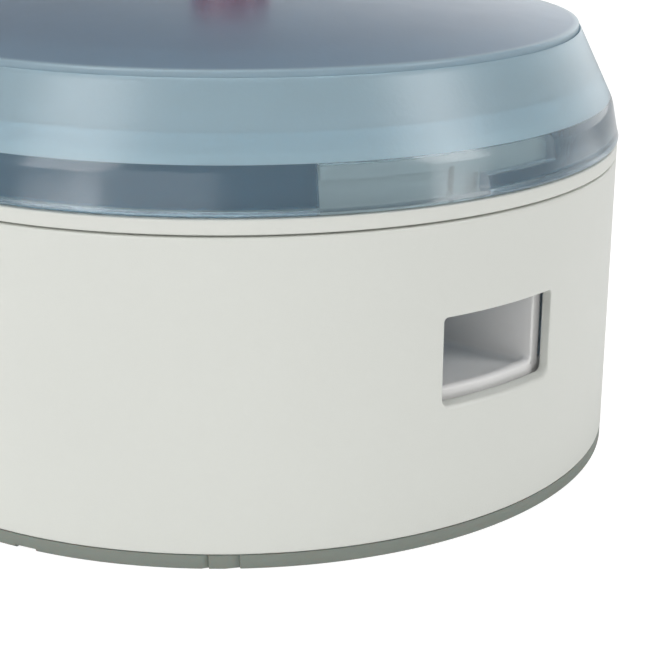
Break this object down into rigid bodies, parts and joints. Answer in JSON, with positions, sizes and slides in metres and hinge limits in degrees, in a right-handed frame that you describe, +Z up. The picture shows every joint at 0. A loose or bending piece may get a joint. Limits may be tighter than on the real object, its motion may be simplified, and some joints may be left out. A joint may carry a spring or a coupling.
{
  "type": "push button treat dispenser",
  "caption": "Round tabletop treat dispenser: a push button in the clear twist-lock lid turns a tray of wedge compartments past a window.",
  "frame": {"origin": "centre of the foot ring's underside, on the table", "axes": "+Z up along the spindle, -Y out of the dispensing window, +X to the right seen from the front"},
  "size_m": [0.1904, 0.1904, 0.127],
  "materials": {
    "housing": "fine satin",
    "tray": "satin",
    "rubber": "matt",
    "seal": "satin",
    "lid": "frosted, see-through",
    "guide": "satin",
    "button": "gloss",
    "bearing": "smooth",
    "steel": "plated"
  },
  "bodies": {
    "base": {"foot_ring": "rubber", "base_plate": "housing", "outer_shell": "housing", "top_ring": "housing", "deck_plate": "tray", "spindle": "bearing", "sleeve_clip": "steel", "detent_spring": "steel", "base_screws": "steel", "deck_screws": "steel", "spindle_screws": "steel", "detent_screw": "steel", "return_spring": "steel"},
    "carousel": {"carousel": "tray", "ratchet_ring": "bearing", "carousel_bush": "bearing", "hub_cover": "tray"},
    "driver": {"drive_sleeve": "bearing", "pawl_ring": "bearing"},
    "plunger": {"plunger": "bearing", "cross_pin": "steel"},
    "lid_seal": {"lid_seal": "seal"},
    "lid": {"lid": "lid", "button_guide": "guide", "guide_screws": "steel", "button_spring": "steel"},
    "button": {"button_cap": "button", "button_stem": "bearing", "stem_screw": "steel", "button_clip": "steel"}
  },
  "joints": [
    {"name": "lid_lift", "type": "slide", "parent": "base", "child": "lid_seal", "axis": [0, 0, 1], "range_m": [0, 0.06]},
    {"name": "lid_twist", "type": "hinge", "parent": "lid_seal", "child": "lid", "pos_m": [0, 0, 0.0763], "axis": [0, 0, 1], "range_deg": [-19, 0]},
    {"name": "button_press", "type": "slide", "parent": "lid", "child": "button", "axis": [0, 0, -1], "range_m": [0, 0.01], "stiffness_N_per_m": 220, "springref_m": -0.004, "deforming": ["button_spring"]},
    {"name": "plunger_press", "type": "slide", "parent": "base", "child": "plunger", "axis": [0, 0, -1], "range_m": [0, 0.01], "stiffness_N_per_m": 150, "springref_m": -0.004, "deforming": ["return_spring"]},
    {"name": "carousel_turn", "type": "hinge", "parent": "base", "child": "carousel", "pos_m": [0, 0, 0.031], "axis": [0, 0, 1], "range_deg": [0, 20], "deforming": ["detent_spring"]},
    {"name": "drive_turn", "type": "hinge", "parent": "base", "child": "driver", "pos_m": [0, 0, 0.036], "axis": [0, 0, 1], "range_deg": [0, 20]}
  ],
  "couplings": [
    {"joint": "drive_turn", "follows": "carousel_turn", "ratio": 1},
    {"joint": "plunger_press", "follows": "carousel_turn", "m_per_rad": 0.028647},
    {"joint": "button_press", "follows": "carousel_turn", "m_per_rad": 0.028647}
  ]
}
